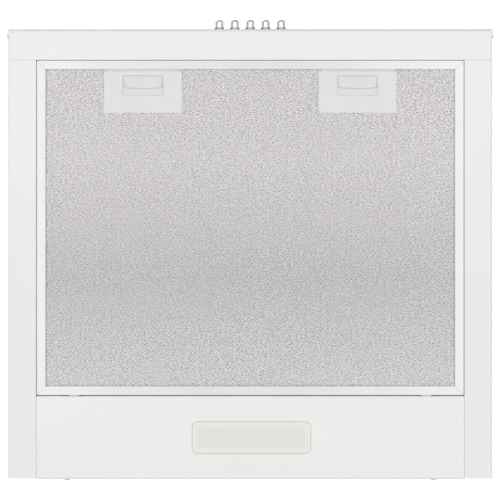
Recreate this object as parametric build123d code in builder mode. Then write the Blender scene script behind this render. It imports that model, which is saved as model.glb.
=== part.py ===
"""Under cabinet range hood, 500 mm wide: a slim painted steel hood with five push buttons on the front edge,
one framed grease filter that swings down on its rear tabs, a lamp behind a frosted lens, a vertical-axis
blower with its motor, and a duct collar with two back-draught flaps on top.

Frame: the origin is the centre of the top mounting face, on the duct collar's axis. +X is to the right for a
person standing in front of the hood, +Y points to the wall and +Z is up. All sizes are in millimetres.
"""

import os
from math import cos, pi, radians, sin, tan

from build123d import *

# ---------------------------------------------------------------- driving dimensions
WIDTH = 500.0  # over the fascia's side returns
HEIGHT = 130.0  # top face to the underside
REAR = 150.0  # outer face of the rear wall
FRONT = -312.0  # front face of the fascia
SHEET = 0.8  # steel sheet
BEND = 2.0  # outer bend radius of the body sheets
UNDER = -HEIGHT
SIDE_GAP = 0.4  # between a side wall and the fascia's return
BODY_HALF = WIDTH / 2 - SHEET - SIDE_GAP

SLOPE_TOP = -150.0  # where the flat top turns down into the slope
SLOPE_ANGLE = 22.5
RETURN_DEPTH = 8.2  # how far the fascia wraps round the side walls
STRIP_DEPTH = 32.0  # fascia face to the filter opening
SHELL_END = FRONT + 4.8  # where the slope and the side walls stop behind the fascia
FASCIA_EDGE = 4.0  # radius round the fascia's face
STRIP_EDGE_TOP = UNDER + BEND + 0.05  # the front strip's turned-up side edges
RELIEF_RADIUS = 0.6  # holes where the fascia's side returns end
RIM = 12.0  # width of the side walls' inner rims
REAR_FOLD = 5.0  # depth of the shell's folded rear edge, above the rear wall
LAP = (-9.2, -2.4)  # height of the strip that joins the rear wall to that edge
LAP_HALF = 236.0

OPEN_FRONT = FRONT + STRIP_DEPTH
OPEN_REAR = OPEN_FRONT + 345.3
OPEN_HALF = 220.05
PANEL_HALF = OPEN_HALF - 0.25
UPSTAND_TOP = -116.0
REAR_FLANGE_TOP = -112.0

# grease filter
FRONT_GAP = 0.5  # between the filter and the opening, in front and at the sides
REAR_GAP = 0.75
FILTER_HALF = OPEN_HALF - FRONT_GAP
FILTER_FRONT = OPEN_FRONT + FRONT_GAP
FILTER_REAR = OPEN_REAR - REAR_GAP
FRAME_FACE = 9.2
FRAME_HEIGHT = 9.0
FRAME_WALL = 0.9
MITRE_GAP = 0.12
SLOT_HEIGHT = (UNDER + 1.9, UNDER + 4.9)  # punched slots in the front and rear bars
MESH_INSET = FRAME_WALL + 0.3
LAYER_PITCH = 1.4  # between the four inner layers of the mesh
TAB_X = 181.0
TAB_WIDTH = 10.0
TAB_SLOT = 22.0  # width of the lamp panel's slots for the tabs
TAB_Z = UNDER + 1.8  # underside of the rear tabs, where the filter pivots
PIVOT_Y = OPEN_REAR + SHEET / 2
PIVOT_RADIUS = 0.5  # pressed rib under each tab, which rocks in the slot
TAB_THICKNESS = 0.8
HEM_HEIGHT = 1.8  # folded edge of the front strip, under the latch tongues
LATCH_X = 110.3
BEZEL_WIDTH = 80.3
BEZEL_FRONT = -268.2
BEZEL_REAR = -225.5
BEZEL_FACE = UNDER + 0.7
BEZEL_WALL = 1.2
WINDOW_WIDTH = 42.1
WINDOW_FRONT = -264.0
WINDOW_REAR = -243.5
RIDGE_SIDE = -251.4  # the curved rear wall of the finger well, at its ends and in its middle
RIDGE_MIDDLE = -250.0
WELL_SHALLOW = 0.4  # depth of the finger well in front and at its curved rear wall
WELL_DEEP = 3.3
WELL_TAPER = 28.0  # how far the well's walls lean out, in degrees
WINDOW_EDGE = 0.4
POCKET_HALF = 39.8
POCKET_FRONT = FILTER_FRONT + 1.5
POCKET_REAR = -227.0
POCKET_WALL = 1.0
POCKET_FLOOR = BEZEL_FACE + BEZEL_WALL
POCKET_TOP = POCKET_FLOOR + 4.4
SLIDER_HALF = 37.5
SLIDER_FRONT = -270.6
SLIDER_FLOOR = POCKET_FLOOR + 0.1
SLIDER_HEIGHT = 4.1
SLIDER_REAR = -239.0
TONGUE_HALF = 6.5
TONGUE_OFFSET = 26.6  # each latch has two tongues, either side of its middle
TONGUE_TIP = OPEN_FRONT + 0.6
TONGUE_HEIGHT = (SLIDER_FLOOR + 0.4, SLIDER_FLOOR + 2.4)
SPRING_SEAT_DEPTH = 4.0
SPRING_RADIUS = 1.2
SPRING_WIRE = 0.25
SPRING_TURNS = 8

MIDDLE_SLOT_X = 38.5  # the rear bar's two middle slots
MIDDLE_SLOT_HALF = 10.0

# push buttons
BUTTON_PITCH = 16.0
BUTTON_COUNT = 5
BUTTON_Z = UNDER + 22.0
BUTTON_RADIUS = 4.0
BUTTON_TIP = FRONT - 11.0
BUTTON_DOME = 2.2  # radius round the tip
BUTTON_END = FRONT + 20.0
BUTTON_GAP = 0.3
STOP_FRONT = FRONT + 12.2  # the stop flange of a button, inside the switch
STOP_THICKNESS = 2.0
STOP_RADIUS = BUTTON_RADIUS + 1.4
COLLAR_RADIUS = 5.0
COLLAR_FACE = FRONT - 3.2
SLEEVE_RADIUS = COLLAR_RADIUS - 0.5
SLEEVE_END = FRONT + 6.0
SWITCH_HALF = (46.0, 11.0)  # half width and half height
SWITCH_END = FRONT + 35.0
SWITCH_CAVITY = (FRONT + 12.0, FRONT + 32.0)
SWITCH_EAR = (45.0, 54.0)
TERMINAL_PITCH = 12.0
TERMINAL_COUNT = 7
TERMINAL_END = FRONT + 43.0
BUTTON_XS = [BUTTON_PITCH * (i - (BUTTON_COUNT - 1) / 2) for i in range(BUTTON_COUNT)]
BUTTON_PLACES = [(x, BUTTON_Z) for x in BUTTON_XS]
BUTTON_NAMES = ["off", "speed_1", "speed_2", "speed_3", "light"]

# lamp
LENS_WIDTH = 121.9
LENS_DEPTH = 33.0
LENS_X = 1.2
LENS_Y = (OPEN_REAR + REAR + SHEET) / 2
LENS_FACE = UNDER - 1.4
LENS_GAP = 0.2
LENS_ROUND = 1.2
LENS_CORNER = 6.0
LENS_FLANGE = 2.5  # the lens's flange on the panel's upper side
LENS_FLANGE_TOP = UNDER + SHEET + 1.5
LENS_WALL = 1.6
LAMP_STUD_X = 76.0  # from the lens's middle
TRAY_HEIGHT = 28.0
TRAY_SIZE = (136.0, 46.0)
BOARD_SIZE = (104.0, 18.0, 1.6)
EAR_THICKNESS = 1.5
LAMP_WIRE_HOLE = (-58.0, LENS_Y)

# blower
FAN_X = -120.0
FAN_Y = -70.0
VOLUTE_START = 82.0
VOLUTE_STEP = 10.0
OUTLET_NEAR = 22.0  # the outlet channel's two walls, from the fan's axis
ELBOW_RADIUS = 64.0
CASING_WALL = 1.6
CASING_FLOOR = -92.0
CASING_TOP = -14.0
COVER_TOP = CASING_TOP + CASING_WALL
FLANGE = 10.0
FLANGE_SCREW = 6.2  # screw circle outside the casing's inner outline
INLET_RADIUS = 56.0
SPOUT_WALL = 1.6
MOUNT_CIRCLE = 78.0
MOUNT_RADIUS = 6.0
WHEEL_RADIUS = 72.0
WHEEL_HEIGHT = (-88.0, -36.5)
WHEEL_RING = 6.0
BLADE_INNER = 58.0
BLADE_THICKNESS = 0.9
BLADES = 40
DISH_FLOOR = -60.0  # the wheel's back plate is dished down to here, round the motor
DISH_RADIUS = 44.0
HUB_RADIUS = 9.0
HUB_END = -72.0
MOTOR_RADIUS = 40.0
MOTOR_HEIGHT = (-52.0, -6.0)
MOTOR_NOSE = -55.0
MOTOR_PLATE_RADIUS = 56.0
MOTOR_PLATE = 1.2
MOTOR_SCREW_CIRCLE = 50.0
SHAFT_RADIUS = 3.0
SHAFT_HEIGHT = (-78.0, -23.0)
NUT_HEIGHT = (-77.0, -72.0)
GRILLE_THICKNESS = 3.0
GRILLE_RADIUS = 64.0
GRILLE_RINGS = (18.0, 31.0, 44.0)
GRILLE_BAR = 2.4
GRILLE_SPOKES = 8

# duct collar
COLLAR_OUTER = 59.5
COLLAR_INNER = 57.0
COLLAR_TOP = 35.0
COLLAR_SHOULDER = 60.6  # the tube's thicker stretch, through the top and the flange
COLLAR_LIP_RADIUS = 62.5  # the tube's foot, clamped by the flange
COLLAR_LIP = 1.5
COLLAR_HOLE = 61.0
CLAMP_THICKNESS = 2.0
CLAMP_RADIUS = 72.0
CLAMP_UNDER = -SHEET - CLAMP_THICKNESS
COLLAR_FOOT = CLAMP_UNDER - COLLAR_LIP
GASKET_HEIGHT = 1.6
GASKET_RADIUS = 61.0
STUD_CIRCLE = 66.5
LEDGE_THICKNESS = 2.0
LEDGE_INNER = 54.5
PIN_Y = 2.6
PIN_Z = 12.0
PIN_RADIUS = 1.6
PIN_HALF = COLLAR_OUTER - 1.2
FLAP_THICKNESS = 1.2
FLAP_RADIUS = COLLAR_INNER - 0.7

# fixing holes
CABINET_HOLES = (360.0, 200.0)
CABINET_HOLE_RADIUS = 2.6
SCREW_HOLE = 1.6
SCREW_SHANK = 1.5
STUD_RADIUS = 1.8
PANEL_SCREW_X = 189.0
PANEL_SCREW_Z = -121.0
RIM_SCREW_X = 242.0
RIM_SCREW_ZS = (-20.0, -95.0)
GLAND_X = 145.0
GLAND_Z = -28.0
GLAND_RADIUS = 6.8
GLAND_HOLE = GLAND_RADIUS + 0.2
GLAND_BORE = 3.6
GLAND_NUT = 3.0
GLAND_INSIDE = 8.0
WIRE_HOLE = 2.8

REAR_PLANE = Plane(origin=(0, REAR, 0), x_dir=(-1, 0, 0), z_dir=(0, 1, 0))
FAN_PLANE = Plane(origin=(FAN_X, FAN_Y, 0))


def save(builder, node):
    """Labels a finished piece and writes its STEP file."""
    builder.part.label = node
    export_step(builder.part, f"parts/{node}.step")


def save_group(builders, node):
    """Writes several separate pieces as one node."""
    with BuildPart() as group:
        for builder in builders:
            add(builder.part)
    save(group, node)


def slope_z(y):
    """Height of the slope's outer surface at y."""
    return (y - SLOPE_TOP) * tan(radians(SLOPE_ANGLE))


def drop(distance):
    """How far a surface parallel to the slope, distance below it, lies straight down."""
    return distance / cos(radians(SLOPE_ANGLE))


def block(x, y, z, mode=Mode.ADD):
    """A box given by its limits along each axis."""
    with Locations(((x[0] + x[1]) / 2, (y[0] + y[1]) / 2, (z[0] + z[1]) / 2)):
        Box(x[1] - x[0], y[1] - y[0], z[1] - z[0], mode=mode)


def disc(radius, z, at=(0, 0), mode=Mode.ADD):
    """An upright cylinder from z[0] to z[1]."""
    with Locations((at[0], at[1], (z[0] + z[1]) / 2)):
        Cylinder(radius, z[1] - z[0], mode=mode)


def pan_screws(plane, places, length, head_radius=2.9, head_height=1.5):
    """Cross-recess screws whose heads stand on the plane and whose shanks go the other way."""
    with BuildPart() as screws:
        with BuildSketch(plane):
            with Locations(*places):
                Circle(head_radius)
        extrude(amount=head_height)
        tops = screws.edges().filter_by(GeomType.CIRCLE)
        fillet([e for e in tops if plane.to_local_coords(e.arc_center).Z > head_height / 2], 0.6)
        with BuildSketch(plane):
            with Locations(*places):
                Circle(SCREW_SHANK)
        extrude(amount=-length)
        with BuildSketch(plane.offset(head_height)):
            with Locations(*places):
                Rectangle(2.8, 0.6)
                Rectangle(0.6, 2.8)
        extrude(amount=-0.7, mode=Mode.SUBTRACT)
    return screws


def studs(places, root, seat):
    """Weld studs on the sheet above or below (root), with a nut on the seat."""
    away = 1 if seat > root else -1
    with BuildPart() as group:
        with BuildSketch(Plane.XY.offset(seat)):
            with Locations(*places):
                RegularPolygon(3.5, 6, major_radius=False)
        extrude(amount=3 * away)
        with BuildSketch(Plane.XY.offset(root)):
            with Locations(*places):
                Circle(STUD_RADIUS)
        extrude(amount=seat + 4.5 * away - root)
    return group


# ---------------------------------------------------------------- housing
def body_shell():
    """Flat top with a folded rear edge, and the slope, folded from one sheet."""
    with BuildPart() as shell:
        with BuildSketch(Plane.YZ):
            with BuildLine():
                FilletPolyline(
                    (REAR, -REAR_FOLD),
                    (REAR, 0),
                    (SLOPE_TOP, 0),
                    (SHELL_END, slope_z(SHELL_END)),
                    radius=BEND,
                )
                offset(amount=SHEET, side=Side.LEFT)
            make_face()
        extrude(amount=BODY_HALF, both=True)
        with BuildSketch():
            Circle(COLLAR_HOLE)
            with GridLocations(*CABINET_HOLES, 2, 2):
                Circle(CABINET_HOLE_RADIUS)
        extrude(amount=-2 * SHEET, mode=Mode.SUBTRACT)
    save(shell, "body_shell")


def rear_wall():
    """Flat sheet under the shell's folded edge, with a strip spot-welded inside that laps behind the edge."""
    with BuildPart() as wall:
        block((-BODY_HALF, BODY_HALF), (REAR - SHEET, REAR), (UNDER + BEND + 0.2, -REAR_FOLD - 0.2))
        block((-LAP_HALF, LAP_HALF), (REAR - 2 * SHEET, REAR - SHEET), LAP)
        with BuildSketch(REAR_PLANE):
            with Locations((-GLAND_X, GLAND_Z)):
                Circle(GLAND_HOLE)
            with Locations(*rear_wall_screw_places(), *panel_screw_places()):
                Circle(SCREW_HOLE)
        extrude(amount=-2 * SHEET, mode=Mode.SUBTRACT)
    save(wall, "rear_wall")


def rear_wall_screw_places():
    return [(x, z) for x in (-RIM_SCREW_X, RIM_SCREW_X) for z in RIM_SCREW_ZS]


def panel_screw_places():
    return [(-PANEL_SCREW_X, PANEL_SCREW_Z), (PANEL_SCREW_X, PANEL_SCREW_Z)]


def side_panels():
    """Side walls with a rim under the shell and a wide flange along the underside."""
    rear, top = REAR - SHEET, -SHEET
    slope_start = SLOPE_TOP + SHEET * tan(radians(SLOPE_ANGLE / 2))
    front_top = slope_z(SHELL_END) - drop(SHEET)
    front_bottom = STRIP_EDGE_TOP + 0.1
    bottom = UNDER + BEND
    inner_bend = BEND - SHEET + 0.1
    with BuildPart() as side:
        with BuildSketch(Plane.YZ.offset(BODY_HALF)):
            with BuildLine():
                rim_line = FilletPolyline(
                    (rear, bottom), (rear, top), (slope_start, top), (SHELL_END, front_top), radius=inner_bend
                )
                Polyline(
                    rim_line @ 1,
                    (SHELL_END, front_bottom + 3),
                    (SHELL_END + 3, front_bottom),
                    (OPEN_FRONT + 0.2, front_bottom),
                    (OPEN_FRONT + 0.2, bottom),
                    rim_line @ 0,
                )
            make_face()
        extrude(amount=-SHEET)
        with BuildSketch(Plane.YZ.offset(BODY_HALF)):
            with BuildLine():
                FilletPolyline(
                    (rear, UNDER + 20),
                    (rear, top),
                    (slope_start, top),
                    (SHELL_END + 10, slope_z(SHELL_END + 10) - drop(SHEET)),
                    radius=inner_bend,
                )
                offset(amount=SHEET, side=Side.LEFT)
            make_face()
        extrude(amount=-RIM)
        with BuildSketch(Plane.XZ.offset(-REAR)):
            with BuildLine():
                FilletPolyline(
                    (OPEN_HALF, UNDER), (BODY_HALF, UNDER), (BODY_HALF, bottom + 0.001), radius=BEND
                )
                offset(amount=SHEET, side=Side.LEFT)
            make_face()
        extrude(amount=REAR - OPEN_FRONT - 0.2)
        with BuildSketch(Plane.XZ.offset(-REAR)):
            with Locations(*[(RIM_SCREW_X, z) for z in RIM_SCREW_ZS]):
                Circle(SCREW_HOLE)
        extrude(amount=4, mode=Mode.SUBTRACT)
    save(side, "side_panel_right")
    with BuildPart() as other:
        mirror(side.part, about=Plane.YZ)
    save(other, "side_panel_left")


def front_fascia():
    """A shallow pan that wraps the front, with the strip in front of the filter as its deep lower flange."""
    back = FRONT + RETURN_DEPTH
    lift = drop(SHEET + 0.05)
    with BuildPart() as fascia:
        with BuildSketch(Plane.YZ):
            with BuildLine():
                Polyline(
                    (back, UNDER),
                    (FRONT, UNDER),
                    (FRONT, slope_z(FRONT) + lift),
                    (back, slope_z(back) + lift),
                    close=True,
                )
            make_face()
        extrude(amount=WIDTH / 2, both=True)
        front_face = fascia.faces().sort_by(Axis.Y)[0]
        fillet(front_face.edges(), FASCIA_EDGE)
        offset(amount=-SHEET, openings=fascia.faces().sort_by(Axis.Y)[-1])
        with BuildSketch(Plane.XZ.offset(-OPEN_FRONT)):
            with BuildLine():
                FilletPolyline(
                    (-BODY_HALF, STRIP_EDGE_TOP),
                    (-BODY_HALF, UNDER),
                    (BODY_HALF, UNDER),
                    (BODY_HALF, STRIP_EDGE_TOP),
                    radius=BEND,
                )
                offset(amount=SHEET, side=Side.LEFT)
            make_face()
        extrude(amount=OPEN_FRONT - back)
        block((1 - OPEN_HALF, OPEN_HALF - 1), (OPEN_FRONT - 6, OPEN_FRONT), (UNDER, UNDER + HEM_HEIGHT))
        with BuildSketch(Plane.XZ.offset(-FRONT)):
            with Locations(*BUTTON_PLACES):
                Circle(SLEEVE_RADIUS + 0.1)
        extrude(amount=-2 * SHEET, mode=Mode.SUBTRACT)
        for side in (-1, 1):
            corner = (side * (BODY_HALF + 0.1), back - RELIEF_RADIUS / 2)
            disc(RELIEF_RADIUS, (UNDER - 1, STRIP_EDGE_TOP + 1), corner, Mode.SUBTRACT)
    save(fascia, "front_fascia")


def lamp_panel():
    """The rear part of the underside: upstand with two slots for the filter, lens cut-out and rear flange."""
    with BuildPart() as panel:
        with BuildSketch(Plane.YZ):
            with BuildLine():
                FilletPolyline(
                    (OPEN_REAR, UPSTAND_TOP),
                    (OPEN_REAR, UNDER),
                    (REAR + SHEET, UNDER),
                    (REAR + SHEET, REAR_FLANGE_TOP),
                    radius=BEND,
                )
                offset(amount=SHEET, side=Side.LEFT)
            make_face()
        extrude(amount=PANEL_HALF, both=True)
        for side in (-1, 1):
            ear = sorted((side * (PANEL_HALF - 1), side * (PANEL_HALF + 12)))
            block(ear, (OPEN_REAR, OPEN_REAR + SHEET), (UNDER + 3.0, UPSTAND_TOP))
            slot = (side * TAB_X - TAB_SLOT / 2, side * TAB_X + TAB_SLOT / 2)
            block(slot, (OPEN_REAR - 1, OPEN_REAR + 2), (TAB_Z - SHEET, TAB_Z + 2.7), Mode.SUBTRACT)
        extrude(lens_outline(UNDER, -LENS_GAP), amount=2 * SHEET, mode=Mode.SUBTRACT)
        with BuildSketch(REAR_PLANE.offset(SHEET)):
            with Locations(*panel_screw_places()):
                Circle(SCREW_HOLE)
        extrude(amount=-SHEET, mode=Mode.SUBTRACT)
    save(panel, "lamp_panel")


def housing_screws():
    panel = pan_screws(REAR_PLANE.offset(SHEET), panel_screw_places(), 6)
    wall = pan_screws(REAR_PLANE, rear_wall_screw_places(), 6)
    save_group([panel, wall], "rear_screws")


# ---------------------------------------------------------------- grease filter
def frame_bar(corners, cavity):
    """One mitred bar of the filter's frame: a channel that opens towards the filter's middle."""
    with BuildPart() as bar:
        with BuildSketch(Plane.XY.offset(UNDER)):
            with BuildLine():
                Polyline(*corners, close=True)
            make_face()
        extrude(amount=FRAME_HEIGHT)
        lower = bar.faces().sort_by(Axis.Z)[0]
        rolled = [e for e in lower.edges() if e.length > 20]
        fillet(rolled, 0.7)
        block(*cavity, (UNDER + FRAME_WALL, UNDER + FRAME_HEIGHT - FRAME_WALL), Mode.SUBTRACT)
    return bar


def tongue_places(side):
    """Where one latch's two tongues are along X."""
    return [side * LATCH_X - TONGUE_OFFSET, side * LATCH_X + TONGUE_OFFSET]


def punched_slots(bar, places, half, wall):
    """Slots through the outer wall of a frame bar."""
    with bar:
        for x in places:
            block((x - half, x + half), wall, SLOT_HEIGHT, Mode.SUBTRACT)


def filter_frame():
    """Four mitred bars; the front and rear ones share one punching, so each has slots that stay empty."""
    latch_places = tongue_places(-1) + tongue_places(1)
    half, near, far, face, gap = FILTER_HALF, FILTER_FRONT, FILTER_REAR, FRAME_FACE, MITRE_GAP
    inner = half - face
    everywhere = (-half - 1, half + 1)
    front = frame_bar(
        [(-half + gap, near), (half - gap, near), (inner - gap, near + face), (-inner + gap, near + face)],
        (everywhere, (near + FRAME_WALL, near + face + 1)),
    )
    punched_slots(front, latch_places + tongue_places(0), TONGUE_HALF + 0.5, (near - 1, near + 2))
    save(front, "filter_frame_front")
    rear = frame_bar(
        [(-half + gap, far), (half - gap, far), (inner - gap, far - face), (-inner + gap, far - face)],
        (everywhere, (far - face - 1, far - FRAME_WALL)),
    )
    punched_slots(rear, latch_places, TONGUE_HALF + 0.5, (far - 2, far + 1))
    punched_slots(rear, [-MIDDLE_SLOT_X, MIDDLE_SLOT_X], MIDDLE_SLOT_HALF, (far - 2, far + 1))
    save(rear, "filter_frame_rear")
    right = frame_bar(
        [(half, near + gap), (half, far - gap), (inner, far - face - gap), (inner, near + face + gap)],
        ((inner - 1, half - FRAME_WALL), (near - 1, far + 1)),
    )
    save(right, "filter_frame_right")
    with BuildPart() as left:
        mirror(right.part, about=Plane.YZ)
    save(left, "filter_frame_left")


def mesh_sheets(heights, thickness, hole_half, hole_y):
    """Flat layers of the mesh pack, cut out round the two latches."""
    half = FILTER_HALF - MESH_INSET
    with BuildPart() as sheets:
        for z in heights:
            block((-half, half), (FILTER_FRONT + MESH_INSET, FILTER_REAR - MESH_INSET), (z, z + thickness))
        for side in (-1, 1):
            hole = (side * LATCH_X - hole_half, side * LATCH_X + hole_half)
            block(hole, hole_y, (UNDER, UNDER + FRAME_HEIGHT), Mode.SUBTRACT)
    return sheets


def filter_mesh():
    pocket = (FILTER_FRONT, POCKET_REAR + 0.4)
    top = UNDER + FRAME_HEIGHT - FRAME_WALL
    lower = mesh_sheets([UNDER + FRAME_WALL], 0.3, BEZEL_WIDTH / 2 + 0.3, (FILTER_FRONT, BEZEL_REAR + 0.3))
    save(lower, "filter_mesh_lower")
    core_heights = [UNDER + 2.4 + LAYER_PITCH * i for i in range(4)]
    save(mesh_sheets(core_heights, 0.2, POCKET_HALF + 0.4, pocket), "filter_mesh_core")
    save(mesh_sheets([top - 0.3], 0.3, POCKET_HALF + 0.4, pocket), "filter_mesh_upper")


def filter_tabs():
    """Two angle tabs on the rear bar, which hook into the lamp panel's upstand."""
    with BuildPart() as tabs:
        for side in (-1, 1):
            wide = (side * TAB_X - TAB_WIDTH / 2, side * TAB_X + TAB_WIDTH / 2)
            block(wide, (FILTER_REAR, FILTER_REAR + 0.6), (TAB_Z, UNDER + 8))
            block(wide, (FILTER_REAR, FILTER_REAR + 7.4), (TAB_Z, TAB_Z + TAB_THICKNESS))
            with Locations((side * TAB_X, PIVOT_Y, TAB_Z)):
                Cylinder(PIVOT_RADIUS, TAB_WIDTH, rotation=(0, 90, 0))
    save(tabs, "filter_rear_tabs")


def at_latch(side, x):
    """The limits -x..x, moved to the latch on that side."""
    return (side * LATCH_X - x, side * LATCH_X + x)


def latch_bezel(side, node):
    """Moulded plate with the finger window, and the pocket that guides the slider."""
    pocket_floor = UNDER + FRAME_WALL + 0.1
    with BuildPart() as bezel:
        block(at_latch(side, BEZEL_WIDTH / 2), (BEZEL_FRONT, BEZEL_REAR), (BEZEL_FACE, POCKET_FLOOR))
        fillet(bezel.faces().sort_by(Axis.Z)[0].edges(), 0.35)
        block(at_latch(side, POCKET_HALF), (POCKET_FRONT, POCKET_REAR), (pocket_floor, POCKET_TOP))
        block(
            at_latch(side, SLIDER_HALF + 0.3),
            (POCKET_FRONT + POCKET_WALL, POCKET_REAR - POCKET_WALL),
            (POCKET_FLOOR, POCKET_TOP),
            Mode.SUBTRACT,
        )
        for x in tongue_places(side):
            block(
                (x - TONGUE_HALF - 0.4, x + TONGUE_HALF + 0.4),
                (POCKET_FRONT - 1, POCKET_FRONT + 2 * POCKET_WALL),
                (POCKET_FLOOR, TONGUE_HEIGHT[1] + 0.4),
                Mode.SUBTRACT,
            )
        block(
            at_latch(side, POCKET_HALF + 1),
            (FILTER_FRONT + FRAME_FACE, BEZEL_FRONT),
            (UNDER, POCKET_FLOOR),
            Mode.SUBTRACT,
        )
        with BuildSketch(Plane.XY.offset(UNDER)):
            with Locations((side * LATCH_X, (WINDOW_FRONT + WINDOW_REAR) / 2)):
                RectangleRounded(WINDOW_WIDTH, WINDOW_REAR - WINDOW_FRONT, 2)
        extrude(amount=POCKET_FLOOR + 1 - UNDER, mode=Mode.SUBTRACT)
        plate = bezel.faces().sort_by(Axis.Z)[0]
        fillet(plate.inner_wires()[0].edges(), WINDOW_EDGE)
    save(bezel, node)


def finger_scoop(side):
    """The hollow of the finger well: its walls lean out and its floor slopes down to a curved rear wall."""
    left, right = at_latch(side, WINDOW_WIDTH / 2 - 0.6)
    start, end = WINDOW_FRONT + 0.1, RIDGE_MIDDLE + 1
    shallow, deep = SLIDER_FLOOR + WELL_SHALLOW, SLIDER_FLOOR + WELL_DEEP
    corners = [(left, RIDGE_SIDE), (left, start), (right, start), (right, RIDGE_SIDE)]
    with BuildPart() as scoop:
        with BuildSketch(Plane.XY.offset(SLIDER_FLOOR)):
            with BuildLine():
                ThreePointArc((right, RIDGE_SIDE), (side * LATCH_X, RIDGE_MIDDLE), (left, RIDGE_SIDE))
                FilletPolyline(*corners, radius=2)
            make_face()
        extrude(amount=WELL_DEEP, taper=WELL_TAPER)
        with BuildSketch(Plane.YZ.offset(left - 1)):
            with BuildLine():
                Polyline((start - 1, shallow), (end, deep), (start - 1, deep + 1), close=True)
            make_face()
        extrude(amount=right - left + 2, mode=Mode.SUBTRACT)
        mouth = scoop.faces().sort_by(Axis.Z)[0]
        extrude(mouth, amount=1)
    return scoop


def latch_slider(side, node):
    """Sliding bolt with a finger well; its two tongues reach over the front strip."""
    floor = SLIDER_FLOOR
    scoop = finger_scoop(side)
    with BuildPart() as slider:
        block(at_latch(side, SLIDER_HALF), (SLIDER_FRONT, SLIDER_REAR), (floor, floor + SLIDER_HEIGHT))
        for x in tongue_places(side):
            block((x - TONGUE_HALF, x + TONGUE_HALF), (TONGUE_TIP, SLIDER_FRONT), TONGUE_HEIGHT)
        add(scoop.part, mode=Mode.SUBTRACT)
        seat = (side * LATCH_X, SLIDER_REAR, floor + SLIDER_HEIGHT / 2)
        with BuildSketch(Plane(origin=seat, x_dir=(1, 0, 0), z_dir=(0, 1, 0))):
            Circle(SPRING_RADIUS + 0.5)
        extrude(amount=-SPRING_SEAT_DEPTH, mode=Mode.SUBTRACT)
    save(slider, node)


def latch_spring(side, node):
    """Compression spring between the slider's seat and the pocket's rear wall."""
    start = SLIDER_REAR - SPRING_SEAT_DEPTH + 2 * SPRING_WIRE
    length = POCKET_REAR - POCKET_WALL - 2 * SPRING_WIRE - start
    seat = (side * LATCH_X, start, SLIDER_FLOOR + SLIDER_HEIGHT / 2)
    with BuildPart() as spring:
        with BuildLine() as coil:
            Helix(length / SPRING_TURNS, length, SPRING_RADIUS, center=seat, direction=(0, 1, 0))
        with BuildSketch(Plane(origin=coil.line @ 0, z_dir=coil.line % 0)):
            Circle(SPRING_WIRE)
        sweep(path=coil.line)
    save(spring, node)


def latch_backplates():
    """Covers that close the two latch pockets from above."""
    height = (POCKET_TOP, POCKET_TOP + BEZEL_WALL)
    with BuildPart() as plates:
        for side in (-1, 1):
            block(at_latch(side, POCKET_HALF), (POCKET_FRONT, POCKET_REAR), height)
    save(plates, "latch_backplates")


# ---------------------------------------------------------------- push buttons
def button_collars():
    """Threaded bushes that clamp the fascia to the switch and guide the buttons."""
    with BuildPart() as collars:
        with BuildSketch(Plane.XZ.offset(-COLLAR_FACE)):
            with Locations(*BUTTON_PLACES):
                Circle(COLLAR_RADIUS)
        extrude(amount=COLLAR_FACE - FRONT)
        rims = [e for e in collars.edges().filter_by(GeomType.CIRCLE) if e.arc_center.Y < COLLAR_FACE + 0.1]
        fillet(rims, 0.5)
        with BuildSketch(Plane.XZ.offset(-FRONT)):
            with Locations(*BUTTON_PLACES):
                Circle(SLEEVE_RADIUS)
        extrude(amount=FRONT - SLEEVE_END)
        with BuildSketch(Plane.XZ.offset(-COLLAR_FACE)):
            with Locations(*BUTTON_PLACES):
                Circle(BUTTON_RADIUS + BUTTON_GAP)
        extrude(amount=COLLAR_FACE - SLEEVE_END, mode=Mode.SUBTRACT)
    save(collars, "button_collars")


def buttons():
    """Round domed caps with a stop flange inside the switch."""
    for name, place in zip(BUTTON_NAMES, BUTTON_PLACES):
        with BuildPart() as button:
            with BuildSketch(Plane.XZ.offset(-BUTTON_TIP)):
                with Locations(place):
                    Circle(BUTTON_RADIUS)
            extrude(amount=BUTTON_TIP - BUTTON_END)
            tip = button.edges().filter_by(GeomType.CIRCLE).sort_by(Axis.Y)[0]
            fillet(tip, BUTTON_DOME)
            with BuildSketch(Plane.XZ.offset(-STOP_FRONT)):
                with Locations(place):
                    Circle(STOP_RADIUS)
            extrude(amount=-STOP_THICKNESS)
        save(button, f"button_{name}")


def switch_housing():
    """Moulded switch block behind the fascia, bored for the collars and the buttons."""
    face = FRONT + SHEET
    half, tall = SWITCH_HALF
    bores = (
        (SLEEVE_RADIUS + 0.05, face, SLEEVE_END + 0.5),
        (BUTTON_RADIUS + BUTTON_GAP, face, SWITCH_CAVITY[0] + 1),
        (STOP_RADIUS + 0.6, *SWITCH_CAVITY),
    )
    with BuildPart() as switch:
        block((-half, half), (face, SWITCH_END), (BUTTON_Z - tall, BUTTON_Z + tall))
        for side in (-1, 1):
            ear = sorted(side * x for x in SWITCH_EAR)
            block(ear, (face, face + 6), (BUTTON_Z - 7, BUTTON_Z + 7))
        chamfer(switch.faces().sort_by(Axis.Y)[-1].edges(), 1)
        for radius, start, end in bores:
            with BuildSketch(Plane.XZ.offset(-start)):
                with Locations(*BUTTON_PLACES):
                    Circle(radius)
            extrude(amount=start - end, mode=Mode.SUBTRACT)
    save(switch, "switch_housing")
    with BuildPart() as blades:
        for i in range(TERMINAL_COUNT):
            x = TERMINAL_PITCH * (i - (TERMINAL_COUNT - 1) / 2)
            block((x - 3.1, x + 3.1), (SWITCH_END, TERMINAL_END), (BUTTON_Z + 3, BUTTON_Z + 3.8))
    save(blades, "switch_terminals")


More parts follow.
